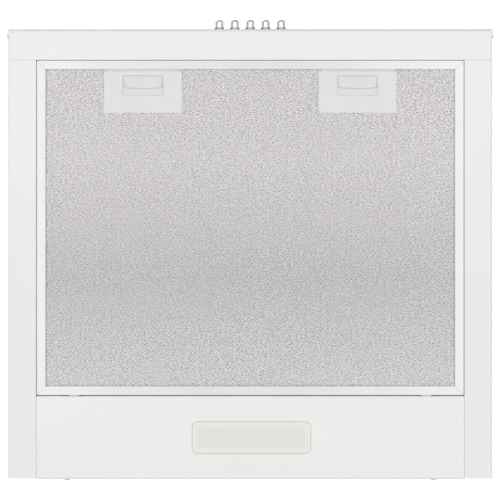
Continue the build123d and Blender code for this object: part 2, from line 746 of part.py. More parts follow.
# ---------------------------------------------------------------- lamp
def lens_outline(z, inset):
    """The lens's rounded rectangle at height z, smaller by inset on every side."""
    with BuildSketch(Plane.XY.offset(z)) as outline:
        with Locations((LENS_X, LENS_Y)):
            RectangleRounded(LENS_WIDTH - 2 * inset, LENS_DEPTH - 2 * inset, max(LENS_CORNER - inset, 1.0))
    return outline.sketch


def lamp():
    """Lens whose flange lies on the panel, and the tray that presses it down and holds the LED board."""
    inside, outside = UNDER + SHEET, UNDER + TRAY_HEIGHT
    board_top = outside - 5.0
    with BuildPart() as lens:
        extrude(lens_outline(LENS_FACE, 0), amount=inside - LENS_FACE)
        fillet(lens.faces().sort_by(Axis.Z)[0].edges(), LENS_ROUND)
        extrude(lens_outline(inside, -LENS_FLANGE), amount=LENS_FLANGE_TOP - inside)
        hollow = lens_outline(LENS_FACE + LENS_WALL, 2.0)
        extrude(hollow, amount=LENS_FLANGE_TOP - LENS_FACE, mode=Mode.SUBTRACT)
        extrude(lens_outline(LENS_FACE, 6.4), amount=0.4, mode=Mode.SUBTRACT)
    save(lens, "lamp_lens")
    with BuildPart() as tray:
        half_x, half_y = TRAY_SIZE[0] / 2, TRAY_SIZE[1] / 2
        block((LENS_X - half_x, LENS_X + half_x), (LENS_Y - half_y, LENS_Y + half_y), (inside, outside))
        half_x, half_y = half_x - EAR_THICKNESS, half_y - EAR_THICKNESS
        hollow = (inside, outside - EAR_THICKNESS)
        block((LENS_X - half_x, LENS_X + half_x), (LENS_Y - half_y, LENS_Y + half_y), hollow, Mode.SUBTRACT)
        for side in (-1, 1):
            ear = sorted((LENS_X + side * (half_x + 0.5), LENS_X + side * (LAMP_STUD_X + 8)))
            block(ear, (LENS_Y - 8, LENS_Y + 8), (inside, inside + EAR_THICKNESS))
            stud_hole = (LENS_X + side * LAMP_STUD_X, LENS_Y)
            disc(STUD_RADIUS + 0.2, (UNDER, inside + 3), stud_hole, Mode.SUBTRACT)
            disc(3.0, (board_top, outside - 1), (LENS_X + side * 42, LENS_Y))
            for end in (-1, 1):
                post = (LENS_X + side * (LENS_WIDTH / 2 + 0.5), LENS_Y + end * (LENS_DEPTH / 2 + 0.5))
                disc(1.8, (LENS_FLANGE_TOP, outside - 1), post)
        disc(3.0, (outside - 4, outside + 1), LAMP_WIRE_HOLE, Mode.SUBTRACT)
    save(tray, "lamp_tray")
    length, width, thickness = BOARD_SIZE
    with BuildPart() as board:
        with Locations((LENS_X, LENS_Y, board_top - thickness / 2)):
            Box(length, width, thickness)
    save(board, "lamp_board")
    with BuildPart() as leds:
        with Locations((LENS_X, LENS_Y, board_top - thickness - 0.5)):
            with GridLocations(12, 8, 8, 2):
                Box(3.5, 2.8, 1.0)
    save(leds, "lamp_leds")


# ---------------------------------------------------------------- blower
def volute(z, grow=0.0):
    """Inside outline of the casing at z: a volute in three arcs, its outlet channel and the round elbow."""
    h, r1 = VOLUTE_STEP / 2, VOLUTE_START
    r2, r3 = r1 + VOLUTE_STEP, r1 + 2 * VOLUTE_STEP
    right, back = r1 - h, h + r3
    elbow = (-FAN_X, -FAN_Y)
    with BuildSketch(FAN_PLANE.offset(z)) as outline:
        with BuildLine():
            CenterArc((-h, -h), r1, 0, -90)
            CenterArc((-h, h), r2, -90, -90)
            CenterArc((h, h), r3, 180, -90)
            Polyline((h, back), (right, back), (right, -h))
        make_face()
        with Locations(((right + elbow[0]) / 2, (OUTLET_NEAR + back) / 2)):
            Rectangle(elbow[0] - right, back - OUTLET_NEAR)
        with Locations(elbow):
            Circle(ELBOW_RADIUS)
        if grow:
            offset(amount=grow)
    return outline.sketch


def casing_screw_places():
    """Fan-axis coordinates of the screws round the casing's flange."""
    h, out = VOLUTE_STEP / 2, FLANGE_SCREW
    r1, r2, r3 = [VOLUTE_START + VOLUTE_STEP * i for i in range(3)]
    elbow_x, elbow_y, ring = -FAN_X, -FAN_Y, ELBOW_RADIUS + out
    return [
        (-h - r2 - out, h),
        (-h, -h - r1 - out),
        (20, h + r3 + out),
        (elbow_x + ring, elbow_y),
        (elbow_x, elbow_y - ring),
        (elbow_x, elbow_y + ring),
    ]


def on_circle(radius, angles):
    """Points on a circle round the origin, at angles in degrees."""
    return [(radius * cos(radians(a)), radius * sin(radians(a))) for a in angles]


def mount_places():
    """Fan-axis coordinates of the rubber mounts between the blower and the top."""
    return [*on_circle(MOUNT_CIRCLE, (135, 225, 315)), (30.0, 100.0)]


def motor_screw_places():
    return on_circle(MOTOR_SCREW_CIRCLE, (0, 120, 240))


def blower_casing():
    """Scroll-shaped tray with the inlet in its floor and a flange round its open top."""
    height = CASING_TOP - CASING_FLOOR
    with BuildPart() as casing:
        extrude(volute(CASING_FLOOR, CASING_WALL), amount=height)
        extrude(volute(CASING_TOP - CASING_WALL, FLANGE), amount=CASING_WALL)
        extrude(volute(CASING_FLOOR + CASING_WALL), amount=height, mode=Mode.SUBTRACT)
        with BuildSketch(FAN_PLANE.offset(CASING_FLOOR)):
            Circle(INLET_RADIUS)
        extrude(amount=2 * CASING_WALL, mode=Mode.SUBTRACT)
        with BuildSketch(FAN_PLANE.offset(CASING_TOP)):
            with Locations(*casing_screw_places()):
                Circle(SCREW_HOLE)
        extrude(amount=-2 * CASING_WALL, mode=Mode.SUBTRACT)
    save(casing, "blower_casing")


def blower_cover():
    """Lid of the casing, open for the motor and with a spout up to the duct collar."""
    elbow = (-FAN_X, -FAN_Y)
    spout = COLLAR_FOOT - GASKET_HEIGHT - CASING_TOP
    with BuildPart() as cover:
        extrude(volute(CASING_TOP, FLANGE), amount=CASING_WALL)
        with BuildSketch(FAN_PLANE.offset(CASING_TOP)):
            with Locations(elbow):
                Circle(COLLAR_INNER + SPOUT_WALL)
        extrude(amount=spout)
        with BuildSketch(FAN_PLANE.offset(CASING_TOP)):
            Circle(DISH_RADIUS)
            with Locations(elbow):
                Circle(COLLAR_INNER)
        extrude(amount=spout + 1, mode=Mode.SUBTRACT)
        with BuildSketch(FAN_PLANE.offset(CASING_TOP)):
            with Locations(*casing_screw_places(), *mount_places(), *motor_screw_places()):
                Circle(SCREW_HOLE)
        extrude(amount=2 * CASING_WALL, mode=Mode.SUBTRACT)
    save(cover, "blower_cover")


def blower_mounts():
    with BuildPart() as mounts:
        with BuildSketch(FAN_PLANE.offset(COVER_TOP)):
            with Locations(*mount_places()):
                Circle(MOUNT_RADIUS)
        extrude(amount=-SHEET - COVER_TOP)
        with BuildSketch(FAN_PLANE.offset(COVER_TOP)):
            with Locations(*mount_places()):
                Circle(SCREW_HOLE)
        extrude(amount=9, mode=Mode.SUBTRACT)
    save(mounts, "blower_mounts")


def blower_screws():
    """Screws of the motor plate, the casing's flange and, from below, the rubber mounts."""
    under_cover = Plane(origin=(FAN_X, FAN_Y, CASING_TOP), x_dir=(1, 0, 0), z_dir=(0, 0, -1))
    mounts = pan_screws(under_cover, [(x, -y) for x, y in mount_places()], 9)
    motor_plate = pan_screws(FAN_PLANE.offset(COVER_TOP + MOTOR_PLATE), motor_screw_places(), 4)
    flange = pan_screws(FAN_PLANE.offset(COVER_TOP), casing_screw_places(), 8)
    save_group([mounts, motor_plate, flange], "blower_screws")


def motor():
    """Motor can with its nose bearing, the plate that it hangs from, and its shaft."""
    with BuildPart() as can:
        with BuildSketch(FAN_PLANE.offset(MOTOR_HEIGHT[0])):
            Circle(MOTOR_RADIUS)
        extrude(amount=MOTOR_HEIGHT[1] - MOTOR_HEIGHT[0])
        fillet(can.edges().filter_by(GeomType.CIRCLE), 3)
        with BuildSketch(FAN_PLANE.offset(MOTOR_NOSE)):
            Circle(HUB_RADIUS)
        extrude(amount=MOTOR_HEIGHT[0] - MOTOR_NOSE + 1)
        with BuildSketch(FAN_PLANE.offset(MOTOR_NOSE)):
            Circle(SHAFT_RADIUS + 0.06)
        extrude(amount=SHAFT_HEIGHT[1] - MOTOR_NOSE + 1, mode=Mode.SUBTRACT)
    save(can, "motor")
    with BuildPart() as plate:
        with BuildSketch(FAN_PLANE.offset(COVER_TOP)):
            Circle(MOTOR_PLATE_RADIUS)
            Circle(MOTOR_RADIUS + 0.1, mode=Mode.SUBTRACT)
            with Locations(*motor_screw_places()):
                Circle(SCREW_HOLE, mode=Mode.SUBTRACT)
        extrude(amount=MOTOR_PLATE)
    save(plate, "motor_plate")
    with BuildPart() as shaft:
        with BuildSketch(FAN_PLANE.offset(SHAFT_HEIGHT[0])):
            Circle(SHAFT_RADIUS)
        extrude(amount=SHAFT_HEIGHT[1] - SHAFT_HEIGHT[0])
    save(shaft, "motor_shaft")


def ring(radius, inner, z):
    """A flat ring round the fan's axis from z[0] to z[1]."""
    with BuildSketch(FAN_PLANE.offset(z[0])) as outline:
        Circle(radius)
        if inner:
            Circle(inner, mode=Mode.SUBTRACT)
    extrude(outline.sketch, amount=z[1] - z[0])


def impeller():
    """Forward-curved wheel: blades between a lower ring and a back plate dished round the motor."""
    low, high = WHEEL_HEIGHT
    plate = 1.5
    with BuildPart() as wheel:
        with BuildSketch(FAN_PLANE.offset(low)):
            with BuildLine():
                ThreePointArc((BLADE_INNER, 0), (65, 2.0), (WHEEL_RADIUS - 0.5, 8))
                offset(amount=BLADE_THICKNESS, side=Side.LEFT)
            make_face()
        blade = extrude(amount=high - low, mode=Mode.PRIVATE)
        with Locations(FAN_PLANE):
            with PolarLocations(0, BLADES):
                add(blade.moved(Location((-FAN_X, -FAN_Y, 0))))
        ring(WHEEL_RADIUS, WHEEL_RADIUS - WHEEL_RING, (low, low + plate))
        ring(WHEEL_RADIUS, DISH_RADIUS, (high - plate, high))
        ring(DISH_RADIUS + 2, DISH_RADIUS, (DISH_FLOOR, high))
        ring(DISH_RADIUS + 2, 0, (DISH_FLOOR, DISH_FLOOR + plate))
        ring(HUB_RADIUS, 0, (HUB_END, DISH_FLOOR + plate))
        with BuildSketch(FAN_PLANE.offset(HUB_END)):
            Circle(SHAFT_RADIUS + 0.02)
        extrude(amount=DISH_FLOOR + 2 * plate - HUB_END, mode=Mode.SUBTRACT)
    save(wheel, "impeller")
    with BuildPart() as nut:
        with BuildSketch(FAN_PLANE.offset(NUT_HEIGHT[0])):
            RegularPolygon(5, 6, major_radius=False)
            Circle(SHAFT_RADIUS + 0.02, mode=Mode.SUBTRACT)
        extrude(amount=NUT_HEIGHT[1] - NUT_HEIGHT[0])
    save(nut, "fan_nut")


def inlet_grille():
    """Finger guard under the blower's inlet."""
    inner, outer, bar = GRILLE_RINGS[0], INLET_RADIUS, GRILLE_BAR
    with BuildPart() as grille:
        with BuildSketch(FAN_PLANE.offset(CASING_FLOOR - GRILLE_THICKNESS)):
            Circle(GRILLE_RADIUS)
            Circle(outer, mode=Mode.SUBTRACT)
            for radius in GRILLE_RINGS:
                Circle(radius + bar / 2)
                Circle(radius - bar / 2, mode=Mode.SUBTRACT)
            with PolarLocations((inner + outer) / 2, GRILLE_SPOKES):
                Rectangle(outer - inner + bar, bar)
            Circle(inner)
            with PolarLocations((outer + GRILLE_RADIUS) / 2, GRILLE_SPOKES):
                Circle(SCREW_HOLE, mode=Mode.SUBTRACT)
        extrude(amount=GRILLE_THICKNESS)
    save(grille, "inlet_grille")


# ---------------------------------------------------------------- duct collar and flaps
def stud_places():
    return on_circle(STUD_CIRCLE, range(45, 360, 90))


def duct_collar():
    """Spigot for the duct, clamped under the top, with a ledge and pin sockets for the flaps."""
    ledge = PIN_Z - PIN_RADIUS - 0.1
    with BuildPart() as collar:
        disc(COLLAR_LIP_RADIUS, (COLLAR_FOOT, CLAMP_UNDER))
        disc(COLLAR_SHOULDER, (CLAMP_UNDER, 0))
        disc(COLLAR_OUTER, (0, COLLAR_TOP))
        disc(COLLAR_INNER, (COLLAR_FOOT, COLLAR_TOP), mode=Mode.SUBTRACT)
        with BuildSketch(Plane.XY.offset(ledge)):
            Circle(COLLAR_INNER + 0.5)
            Circle(LEDGE_INNER, mode=Mode.SUBTRACT)
        extrude(amount=-LEDGE_THICKNESS)
        with BuildSketch(Plane.YZ.offset(-COLLAR_OUTER + 1)):
            with Locations((PIN_Y, PIN_Z), (-PIN_Y, PIN_Z)):
                Circle(PIN_RADIUS + 0.06)
        extrude(amount=2 * COLLAR_OUTER - 2, mode=Mode.SUBTRACT)
    save(collar, "duct_collar")
    with BuildPart() as flange:
        disc(CLAMP_RADIUS, (CLAMP_UNDER, -SHEET))
        disc(COLLAR_SHOULDER + 0.1, (CLAMP_UNDER, -SHEET), mode=Mode.SUBTRACT)
        for place in stud_places():
            disc(STUD_RADIUS + 0.2, (CLAMP_UNDER, -SHEET), place, Mode.SUBTRACT)
    save(flange, "collar_flange")
    with BuildPart() as gasket:
        disc(GASKET_RADIUS, (COLLAR_FOOT - GASKET_HEIGHT, COLLAR_FOOT))
        disc(COLLAR_INNER, (COLLAR_FOOT - GASKET_HEIGHT, COLLAR_FOOT), mode=Mode.SUBTRACT)
    save(gasket, "collar_gasket")


def weld_studs():
    """Threaded studs and nuts that hold the collar's flange under the top and the lamp tray on the panel."""
    collar = studs(stud_places(), -SHEET, CLAMP_UNDER)
    ends = [(LENS_X - LAMP_STUD_X, LENS_Y), (LENS_X + LAMP_STUD_X, LENS_Y)]
    lamp_ends = studs(ends, UNDER + SHEET, UNDER + SHEET + EAR_THICKNESS)
    save_group([collar, lamp_ends], "weld_studs")


def flaps():
    """Two half-round back-draught flaps, each moulded with its own pin."""
    for side, node in ((1, "flap_rear"), (-1, "flap_front")):
        with BuildPart() as flap:
            with BuildSketch(Plane.XY.offset(PIN_Z - PIN_RADIUS)):
                Circle(FLAP_RADIUS)
                with Locations((0, -side * (FLAP_RADIUS - PIN_Y))):
                    Rectangle(3 * FLAP_RADIUS, 2 * FLAP_RADIUS, mode=Mode.SUBTRACT)
            extrude(amount=FLAP_THICKNESS)
            with BuildSketch(Plane.YZ.offset(-PIN_HALF)):
                with Locations((side * PIN_Y, PIN_Z)):
                    Circle(PIN_RADIUS)
            extrude(amount=2 * PIN_HALF)
        save(flap, node)


# ---------------------------------------------------------------- electrics
BOX_X, BOX_Y, BOX_Z = (110.0, 180.0), (99.2, REAR - SHEET), (-46.0, -10.0)
BOX_WALL = 2.0
BOX_WIRES_FRONT = ((125.0, -20.0), (118.0, -34.0))  # X and Z of the holes in the box's front wall
BOX_WIRE_RIGHT = (115.0, -24.0)  # Y and Z of the holes in its side walls
BOX_WIRE_LEFT = (130.0, -34.0)
BLOCK_PITCH = 8.4
BLOCK_POLES = 6
CAPACITOR_AXIS = (80.0, -24.0)  # Y and Z
CAPACITOR_RADIUS = 14.0
CAPACITOR_X = (46.0, 96.0)
CLIP_X = (65.0, 77.0)


def wire_hole(plane, places):
    """Holes for wire bundles, 5 mm deep into the wall whose outer face is on the plane."""
    with BuildSketch(plane) as holes:
        with Locations(*places):
            Circle(WIRE_HOLE)
    extrude(holes.sketch, amount=-5, mode=Mode.SUBTRACT)


def terminal_box():
    """Box for the mains terminals inside the rear wall, with its lid, terminal block and cable gland."""
    (x0, x1), (y0, y1), (z0, z1) = BOX_X, BOX_Y, BOX_Z
    wall = BOX_WALL
    gland_place = (-GLAND_X, GLAND_Z)
    with BuildPart() as box:
        block(BOX_X, BOX_Y, BOX_Z)
        block((x0 + wall, x1 - wall), (y0 + wall, y1 - wall), (z0, z1 - wall), Mode.SUBTRACT)
        with BuildSketch(REAR_PLANE):
            with Locations(gland_place):
                Circle(GLAND_HOLE)
        extrude(amount=-5, mode=Mode.SUBTRACT)
        wire_hole(Plane.XZ.offset(-y0), BOX_WIRES_FRONT)
        wire_hole(Plane.YZ.offset(x1), [BOX_WIRE_RIGHT])
        wire_hole(Plane.YZ.offset(x0 + wall + 1), [BOX_WIRE_LEFT])
    save(box, "terminal_box")
    with BuildPart() as lid:
        block(BOX_X, BOX_Y, (z0 - wall, z0))
        fillet(lid.edges().filter_by(Axis.Z), 2)
    save(lid, "terminal_box_lid")
    middle = (x0 + x1) / 2
    with BuildPart() as terminals:
        block((middle - 27, middle + 27), (y0 + 8.8, y0 + 26.8), (z1 - 16, z1 - wall))
        for i in range(BLOCK_POLES):
            x = middle + BLOCK_PITCH * (i - (BLOCK_POLES - 1) / 2)
            for y in (y0 + 12.8, y0 + 22.8):
                disc(2, (z1 - 16, z1 - 13), (x, y), Mode.SUBTRACT)
    save(terminals, "terminal_block")
    with BuildPart() as gland:
        with BuildSketch(REAR_PLANE):
            with Locations(gland_place):
                RegularPolygon(8.5, 6, major_radius=False)
        extrude(amount=GLAND_NUT)
        with BuildSketch(REAR_PLANE):
            with Locations(gland_place):
                Circle(GLAND_RADIUS)
        extrude(amount=-GLAND_INSIDE)
        with BuildSketch(REAR_PLANE.offset(GLAND_NUT)):
            with Locations(gland_place):
                Circle(GLAND_BORE)
        extrude(amount=-GLAND_NUT - GLAND_INSIDE, mode=Mode.SUBTRACT)
    save(gland, "cable_gland")


def motor_capacitor():
    """Run capacitor of the motor, in a clip under the top."""
    y, z = CAPACITOR_AXIS
    with BuildPart() as capacitor:
        with BuildSketch(Plane.YZ.offset(CAPACITOR_X[0])):
            with Locations(CAPACITOR_AXIS):
                Circle(CAPACITOR_RADIUS)
        extrude(amount=CAPACITOR_X[1] - CAPACITOR_X[0])
        fillet(capacitor.edges().filter_by(GeomType.CIRCLE), 1.5)
    save(capacitor, "motor_capacitor")
    with BuildPart() as clip:
        with BuildSketch(Plane.YZ.offset(CLIP_X[0])):
            with Locations(CAPACITOR_AXIS):
                Circle(CAPACITOR_RADIUS + 1.2)
            with Locations((y, (z - SHEET) / 2)):
                Rectangle(16, -SHEET - z)
            with Locations(CAPACITOR_AXIS):
                Circle(CAPACITOR_RADIUS + 0.05, mode=Mode.SUBTRACT)
        extrude(amount=CLIP_X[1] - CLIP_X[0])
    save(clip, "capacitor_clip")


def lamp_driver():
    with BuildPart() as driver:
        block((-100, -40), (REAR - SHEET - 26, REAR - SHEET), (-62, -42))
        fillet(driver.edges(), 1.2)
    save(driver, "lamp_driver")


BEND_SHARE = 0.45  # how much of the shorter run each bend of a wire bundle takes up


def harness(points, radius):
    """A bundle of wires along straight runs joined by tangent arcs."""
    runs = [Vector(*b) - Vector(*a) for a, b in zip(points, points[1:])]
    bends = []
    for before, after in zip(runs, runs[1:]):
        half_turn = radians(before.get_angle(after)) / 2
        bends.append(BEND_SHARE * min(before.length, after.length) / tan(half_turn))
    with BuildPart() as bundle:
        with BuildLine() as route:
            FilletPolyline(*points, radius=bends)
        path = route.wires()[0]
        with BuildSketch(Plane(origin=path @ 0, z_dir=path % 0)):
            Circle(radius)
        sweep(path=path)
    expected = pi * radius**2 * path.length
    print("harness", round(path.length), "mm, volume ratio", round(bundle.part.volume / expected, 3))
    print("  bend radii", [round(r) for r in bends])
    return bundle


def wiring():
    """Wire bundles, each from its component to the terminal box."""
    motor_route = [
        (-79, -70, -7), (-52, -82, -6.6), (0, -90, -6.4), (55, -84, -7), (92, -50, -9), (112, 0, -12),
    ]
    motor_route += [(122, 52, -14), (125, 80, -17), (125, 92, -20), (125, 104, -20)]
    capacitor_route = [(96, 80, -24), (104, 80, -24), (116, 84, -29), (118, 92, -34), (118, 104, -34)]
    save_group([harness(motor_route, 2.4), harness(capacitor_route, 1.6)], "motor_harness")
    switch_route = [(20, -268.9, -104), (20, -262, -104), (48, -252, -100), (98, -246, -96), (150, -234, -94)]
    switch_route += [(196, -200, -88), (216, -148, -72), (218, -92, -52), (219, -36, -36), (218, 22, -28)]
    switch_route += [(214, 74, -25), (204, 108, -24), (190, 115, -24), (176, 115, -24)]
    save(harness(switch_route, 2.4), "switch_harness")
    lamp_x = LAMP_WIRE_HOLE[0]
    lamp_route = [(lamp_x, LENS_Y, -106), (lamp_x, LENS_Y, -94), (-65, LENS_Y + 20, -80), (-70, 134, -72)]
    lamp_route += [(-70, 134, -62)]
    driver_route = [(-40, 136, -52), (-30, 136, -52), (16, 128, -44), (60, 126, -38), (98, 130, -34)]
    driver_route += [(114, 130, -34)]
    save_group([harness(lamp_route, 2.0), harness(driver_route, 2.0)], "lamp_harness")


def main():
    os.makedirs("parts", exist_ok=True)
    body_shell()
    rear_wall()
    side_panels()
    front_fascia()
    lamp_panel()
    housing_screws()
    filter_frame()
    filter_mesh()
    filter_tabs()
    for side, name in ((1, "right"), (-1, "left")):
        latch_bezel(side, f"latch_bezel_{name}")
        latch_slider(side, f"latch_slider_{name}")
        latch_spring(side, f"latch_spring_{name}")
    latch_backplates()
    button_collars()
    buttons()
    switch_housing()
    lamp()
    blower_casing()
    blower_cover()
    blower_mounts()
    blower_screws()
    motor()
    impeller()
    inlet_grille()
    duct_collar()
    weld_studs()
    flaps()
    terminal_box()
    motor_capacitor()
    lamp_driver()
    wiring()


main()
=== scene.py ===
"""Studio scene of an under cabinet range hood, seen from straight below, with the looks of every piece.

Lengths are in metres, in the model's frame: origin in the middle of the top mounting face, on the duct
collar's axis, +X to the right for a person in front of the hood, +Y towards the wall and +Z up.
"""

import math

import bpy
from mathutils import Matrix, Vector


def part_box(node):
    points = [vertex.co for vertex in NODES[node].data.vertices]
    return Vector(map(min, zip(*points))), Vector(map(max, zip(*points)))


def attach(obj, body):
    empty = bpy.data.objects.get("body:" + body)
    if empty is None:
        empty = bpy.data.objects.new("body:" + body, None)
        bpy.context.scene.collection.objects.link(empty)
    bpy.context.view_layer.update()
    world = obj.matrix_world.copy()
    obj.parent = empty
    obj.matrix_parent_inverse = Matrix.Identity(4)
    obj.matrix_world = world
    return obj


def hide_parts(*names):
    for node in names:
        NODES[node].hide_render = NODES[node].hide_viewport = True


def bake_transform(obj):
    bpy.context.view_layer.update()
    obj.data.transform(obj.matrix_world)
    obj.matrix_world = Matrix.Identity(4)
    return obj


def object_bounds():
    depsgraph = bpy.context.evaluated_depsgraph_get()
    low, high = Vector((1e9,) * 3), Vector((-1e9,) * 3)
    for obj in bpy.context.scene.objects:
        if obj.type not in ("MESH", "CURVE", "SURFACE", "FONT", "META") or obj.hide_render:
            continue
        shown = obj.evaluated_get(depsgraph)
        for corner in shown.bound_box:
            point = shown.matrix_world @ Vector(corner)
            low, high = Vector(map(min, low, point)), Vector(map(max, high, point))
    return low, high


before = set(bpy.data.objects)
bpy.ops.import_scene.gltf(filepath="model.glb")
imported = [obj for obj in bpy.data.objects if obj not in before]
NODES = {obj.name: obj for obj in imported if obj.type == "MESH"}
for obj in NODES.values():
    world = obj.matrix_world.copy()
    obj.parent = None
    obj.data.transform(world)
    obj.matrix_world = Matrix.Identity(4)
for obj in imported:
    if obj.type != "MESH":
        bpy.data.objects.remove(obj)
cad_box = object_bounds()

MM = 0.001
X, Y, Z = 0, 1, 2  # places of the axes in a point


# ---------------------------------------------------------------- material building blocks
NOISE_LOW, NOISE_HIGH = 0.3, 0.7  # nearly all values of a noise texture lie between these


def linear(*srgb):
    """A colour given as 0-255 screen values, as the linear RGBA that a shader takes."""
    values = [v / 255 for v in srgb]
    return [v / 12.92 if v <= 0.04045 else ((v + 0.055) / 1.055) ** 2.4 for v in values] + [1.0]


WHITE = linear(255, 255, 255)


class Nodes:
    """A node tree and the few node chains that are needed in it more than once."""

    def __init__(self, tree):
        self.tree = tree

    def add(self, kind, **settings):
        node = self.tree.nodes.new(kind)
        for setting, value in settings.items():
            setattr(node, setting, value)
        return node

    def feed(self, socket, value):
        """Links a node's output into a socket, or sets the socket to a constant."""
        if isinstance(value, bpy.types.NodeSocket):
            self.tree.links.new(value, socket)
        else:
            socket.default_value = value

    def math(self, operation, *values):
        node = self.add("ShaderNodeMath", operation=operation)
        for socket, value in zip(node.inputs, values):
            self.feed(socket, value)
        return node.outputs["Value"]

    def axes(self, vector):
        """The X, Y and Z of a vector, as outputs."""
        node = self.add("ShaderNodeSeparateXYZ")
        self.feed(node.inputs["Vector"], vector)
        return node.outputs

    def ramp(self, value, low, high, start=NOISE_LOW, end=NOISE_HIGH):
        """Maps value, between start and end, to a number or a colour between low and high."""
        if not isinstance(low, float):
            return self.color_stops(value, [(start, low), (end, high)])
        node = self.add("ShaderNodeMapRange")
        for socket, number in (("From Min", start), ("From Max", end), ("To Min", low), ("To Max", high)):
            node.inputs[socket].default_value = number
        self.feed(node.inputs["Value"], value)
        return node.outputs["Result"]

    def color_stops(self, value, stops):
        """Maps value to a colour by a list of (place, colour) in rising order of place."""
        node = self.add("ShaderNodeValToRGB")
        elements = node.color_ramp.elements
        while len(elements) < len(stops):
            elements.new(0.5)
        for element, (place, color) in zip(elements, stops):
            element.position = place
            element.color = color
        self.feed(node.inputs["Fac"], value)
        return node.outputs["Color"]


class Shader(Nodes):
    """A Principled material whose textures lie in the model's frame."""

    def __init__(self, name, **sockets):
        self.material = bpy.data.materials.new(name)
        self.material.use_nodes = True
        super().__init__(self.material.node_tree)
        self.surface = self.tree.nodes["Principled BSDF"]
        self.position = self.add("ShaderNodeTexCoord").outputs["Object"]
        for socket, value in sockets.items():
            self.surface.inputs[socket.replace("_", " ")].default_value = value

    def noise(self, size, detail=3.0, stretch=(1, 1, 1)):
        """Noise from 0 to 1 with features about size metres across, longer where stretch is below 1."""
        mapping = self.add("ShaderNodeMapping")
        mapping.inputs["Scale"].default_value = stretch
        self.feed(mapping.inputs["Vector"], self.position)
        node = self.add("ShaderNodeTexNoise")
        node.inputs["Scale"].default_value = 1 / size
        node.inputs["Detail"].default_value = detail
        node.inputs["Roughness"].default_value = 0.55
        self.feed(node.inputs["Vector"], mapping.outputs["Vector"])
        return node.outputs["Fac"]

    def cells(self, size):
        """A random value for each crystal; the crystals are about size metres across."""
        node = self.add("ShaderNodeTexVoronoi", feature="F1")
        node.inputs["Scale"].default_value = 1 / size
        self.feed(node.inputs["Vector"], self.position)
        return node.outputs["Color"]

    def distance(self, axis, middle):
        """How far a point is from middle along X or Y, in metres."""
        return self.math("ABSOLUTE", self.math("SUBTRACT", self.axes(self.position)[axis], middle))

    def mix(self, share, first, second, **settings):
        """A colour between first and second, by share from 0 to 1."""
        node = self.add("ShaderNodeMix", data_type="RGBA", **settings)
        self.feed(node.inputs["Factor"], share)
        self.feed(node.inputs["A"], first)
        self.feed(node.inputs["B"], second)
        return node.outputs["Result"]

    def tinted(self, color, tint):
        """A colour multiplied by another."""
        return self.mix(1.0, color, tint, blend_type="MULTIPLY")

    def color(self, value):
        self.feed(self.surface.inputs["Base Color"], value)

    def rough(self, value):
        self.feed(self.surface.inputs["Roughness"], value)

    def bump(self, height, depth):
        """Gives the surface relief of about depth metres."""
        node = self.add("ShaderNodeBump")
        node.inputs["Distance"].default_value = depth
        node.inputs["Strength"].default_value = 1.0
        self.feed(node.inputs["Height"], height)
        self.feed(self.surface.inputs["Normal"], node.outputs["Normal"])


# ---------------------------------------------------------------- materials
SIDE_SHADE_FADE = (50 * MM, 250 * MM)  # from the duct's axis along Y: where the painted shade on the side panels starts and ends
BAR_SHADE_FADE = (50 * MM, 200 * MM)  # from the filter's middle along X: where the painted shade on the frame's long bars starts and ends
MESH_SHADE_FADE = (0.0, 120 * MM)  # from the line of the mesh's darkest painted shade along Y: where that shade starts and ends
# painted shade on the mesh: the Y of its darkest line, and its grey there
MESH_SHADE_Y = -56 * MM
MESH_SHADE_GREY = linear(240, 240, 240)
LENS_RIM = 6.4 * MM  # width of the smooth rim round the lens's frosted window
LENS_FLANGE = 2.5 * MM  # the lens's hidden flange, outside that rim


def baked_coat(name, grain):
    """A sprayed and baked coat that still lacks its colour: slightly uneven gloss and fine orange peel."""
    coat = Shader(name, Coat_Weight=0.08, Coat_Roughness=0.25)
    coat.rough(coat.ramp(coat.noise(20 * MM), 0.34, 0.42))
    coat.bump(coat.noise(grain, detail=2), 0.04 * MM)
    return coat


def powder_coat(name, painted_shade_grey=WHITE):
    """White paint with faint clouds, and painted shade that greys it beside the duct when a grey is given.
    """
    paint = baked_coat(name, 1.1 * MM)
    clouds = paint.ramp(paint.noise(90 * MM, detail=4), linear(234, 233, 231), linear(237, 236, 234))
    # painted shade: greyer near the duct's axis, fading out along Y
    fade = paint.ramp(paint.distance(Y, 0.0), painted_shade_grey, WHITE, *SIDE_SHADE_FADE)
    paint.color(paint.tinted(clouds, fade))
    return paint.material


def frame_lacquer(name):
    """Thin lacquer on the filter's frame, with painted shade that makes it greyer in the middle of the long
    bars than near the corners.
    """
    lacquer = baked_coat(name, 0.9 * MM)
    # painted shade: the long bars darker towards their middle
    painted_bar_shade = lacquer.ramp(lacquer.distance(X, 0.0), linear(228, 227, 225), linear(241, 239, 237), *BAR_SHADE_FADE)
    clouds = lacquer.ramp(lacquer.noise(50 * MM, detail=4), linear(250, 250, 250), WHITE)
    lacquer.color(lacquer.tinted(painted_bar_shade, clouds))
    return lacquer.material


def moulded(name, low, high, roughness):
    """Injection-moulded plastic with a fine spark-eroded texture."""
    plastic = Shader(name)
    plastic.color(plastic.ramp(plastic.noise(12 * MM, detail=4), low, high))
    plastic.rough(plastic.ramp(plastic.noise(4 * MM), roughness - 0.04, roughness + 0.06))
    plastic.bump(plastic.noise(0.6 * MM, detail=2), 0.03 * MM)
    return plastic.material


def zinc_sheet(name):
    """Hot-dip galvanised sheet with its spangle of flat crystals."""
    zinc = Shader(name, Metallic=1.0)
    spangle = zinc.cells(9 * MM)
    zinc.color(zinc.ramp(spangle, linear(160, 163, 166), linear(205, 208, 210), 0.1, 0.9))
    zinc.rough(zinc.ramp(zinc.noise(6 * MM), 0.32, 0.5))
    zinc.bump(spangle, 0.03 * MM)
    return zinc.material


def drawn_metal(name, low, high, roughness, stretch):
    """Metal with fine parallel lines from drawing or brushing."""
    metal = Shader(name, Metallic=1.0)
    lines = metal.noise(4 * MM, detail=5, stretch=stretch)
    metal.color(metal.ramp(lines, low, high))
    metal.rough(metal.ramp(lines, roughness - 0.06, roughness + 0.08))
    metal.bump(lines, 0.01 * MM)
    return metal.material


